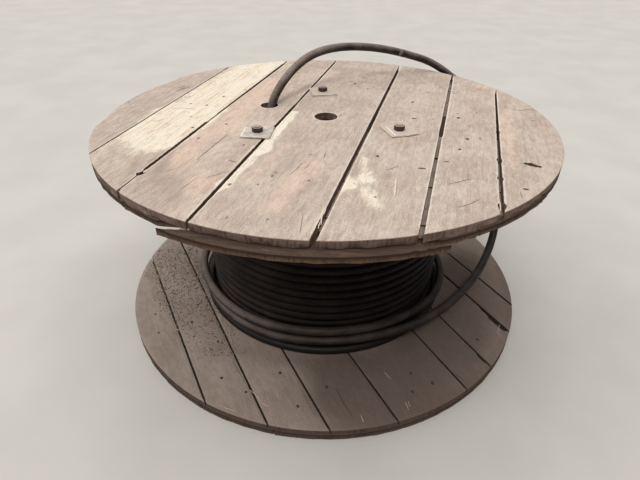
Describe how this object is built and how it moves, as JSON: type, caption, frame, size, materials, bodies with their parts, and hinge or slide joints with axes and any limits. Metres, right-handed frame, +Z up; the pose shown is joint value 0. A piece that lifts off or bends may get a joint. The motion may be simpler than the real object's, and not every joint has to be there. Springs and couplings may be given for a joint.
{
  "type": "wooden cable drum",
  "caption": "Plank-flanged wooden cable drum standing on one flange, wound with thick black cable whose loose end is tucked into the top flange.",
  "frame": {"origin": "on the drum's axis at the underside of the lower flange, in the middle of the spindle bore's lower mouth", "axes": "+Z up along the drum's axis; +Y away from the side that the picture shows; +X to its right, where the loose cable comes round"},
  "size_m": [1.2, 1.22, 0.7004],
  "materials": {
    "board_top": "weathered sawn boards under dust",
    "board_under": "weathered sawn boards",
    "stave": "sawn wood",
    "cable": "dusty matte sheath",
    "bolt": "dull, rusted",
    "plate": "dull zinc under dust"
  },
  "bodies": {
    "root": {"barrel_stave_1": "stave", "barrel_stave_10": "stave", "barrel_stave_11": "stave", "barrel_stave_12": "stave", "barrel_stave_2": "stave", "barrel_stave_3": "stave", "barrel_stave_4": "stave", "barrel_stave_5": "stave", "barrel_stave_6": "stave", "barrel_stave_7": "stave", "barrel_stave_8": "stave", "barrel_stave_9": "stave", "cable_tail": "cable", "cable_winding": "cable", "lower_inner_board_1": "board_under", "lower_inner_board_2": "board_under", "lower_inner_board_3": "board_under", "lower_inner_board_4": "board_under", "lower_inner_board_5": "board_under", "lower_inner_board_6": "board_under", "lower_inner_board_7": "board_under", "lower_inner_board_8": "board_under", "lower_inner_board_9": "board_under", "lower_outer_board_1": "board_under", "lower_outer_board_2": "board_under", "lower_outer_board_3": "board_under", "lower_outer_board_4": "board_under", "lower_outer_board_5": "board_under", "lower_outer_board_6": "board_under", "lower_outer_board_7": "board_under", "lower_outer_board_8": "board_under", "nut_1": "bolt", "nut_2": "bolt", "nut_3": "bolt", "plate_washer_1": "plate", "plate_washer_2": "plate", "plate_washer_3": "plate", "round_washers": "bolt", "tie_bolt_1": "bolt", "tie_bolt_2": "bolt", "tie_bolt_3": "bolt", "upper_inner_board_1": "board_under", "upper_inner_board_10": "board_under", "upper_inner_board_2": "board_under", "upper_inner_board_3": "board_under", "upper_inner_board_4": "board_under", "upper_inner_board_5": "board_under", "upper_inner_board_6": "board_under", "upper_inner_board_7": "board_under", "upper_inner_board_8": "board_under", "upper_inner_board_9": "board_under", "upper_outer_board_1": "board_top", "upper_outer_board_2": "board_top", "upper_outer_board_3": "board_top", "upper_outer_board_4": "board_top", "upper_outer_board_5": "board_top", "upper_outer_board_6": "board_top", "upper_outer_board_7": "board_top"}
  },
  "joints": []
}
